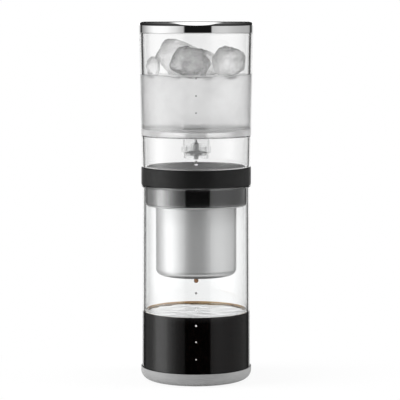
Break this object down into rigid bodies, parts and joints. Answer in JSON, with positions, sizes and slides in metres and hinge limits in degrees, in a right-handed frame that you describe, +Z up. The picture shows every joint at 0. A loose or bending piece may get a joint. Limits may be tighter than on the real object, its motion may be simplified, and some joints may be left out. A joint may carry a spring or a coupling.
{
  "type": "cold drip coffee tower",
  "caption": "Cold drip coffee tower: a lidded clear water tank with a drip valve, over a steel filter dripper in a collar, on a clear cylindrical server with a soft foot.",
  "frame": {"origin": "centre of the circle that the pad stands on, at the surface under it", "axes": "+Z up along the tower's axis; the front, with the printed level dots, faces -Y"},
  "size_m": [0.098, 0.098, 0.3078],
  "materials": {
    "grey_silicone": "matte",
    "black_silicone": "matte",
    "clear_silicone": "satin, translucent",
    "clear_plastic": "clear, polished",
    "black_plastic": "fine matte",
    "polished_steel": "mirror polished",
    "satin_steel": "brushed"
  },
  "bodies": {
    "server": {"base_pad": "grey_silicone", "server_vessel": "clear_plastic"},
    "dripper": {"collar_band": "black_silicone", "dripper_holder": "polished_steel"},
    "basket": {"filter_basket": "satin_steel", "screen_stand": "satin_steel", "filter_screen": "satin_steel", "screen_clamp": "satin_steel"},
    "spreader": {"spreader_plate": "satin_steel", "spreader_handle": "black_plastic", "spreader_rivet": "satin_steel"},
    "tank": {"water_tank": "clear_plastic", "valve_body": "clear_plastic", "outlet_washer": "clear_silicone", "outlet_nut": "clear_plastic", "knob_ring": "clear_silicone"},
    "needle": {"valve_needle": "satin_steel", "needle_tip": "clear_silicone"},
    "knob": {"valve_knob": "clear_plastic"},
    "lid": {"lid_shell": "polished_steel", "lid_liner": "black_plastic", "lid_seal": "clear_silicone"}
  },
  "joints": [
    {"name": "dripper_lift", "type": "slide", "parent": "server", "child": "dripper", "axis": [0, 0, 1], "range_m": [0, 0.1]},
    {"name": "basket_lift", "type": "slide", "parent": "dripper", "child": "basket", "axis": [0, 0, 1], "range_m": [0, 0.1]},
    {"name": "spreader_lift", "type": "slide", "parent": "basket", "child": "spreader", "axis": [0, 0, 1], "range_m": [0, 0.03]},
    {"name": "tank_lift", "type": "slide", "parent": "spreader", "child": "tank", "axis": [0, 0, 1], "range_m": [0, 0.04]},
    {"name": "lid_lift", "type": "slide", "parent": "tank", "child": "lid", "axis": [0, 0, 1], "range_m": [0, 0.04]},
    {"name": "valve_rise", "type": "slide", "parent": "tank", "child": "needle", "axis": [0, 0, 1], "range_m": [-0.0009, 0.0003]},
    {"name": "knob_turn", "type": "hinge", "parent": "needle", "child": "knob", "pos_m": [0, 0, 0.196], "axis": [0, 0, 1], "range_deg": [-270, 90]}
  ],
  "couplings": [
    {"joint": "valve_rise", "follows": "knob_turn", "m_per_rad": 0.00019098}
  ]
}
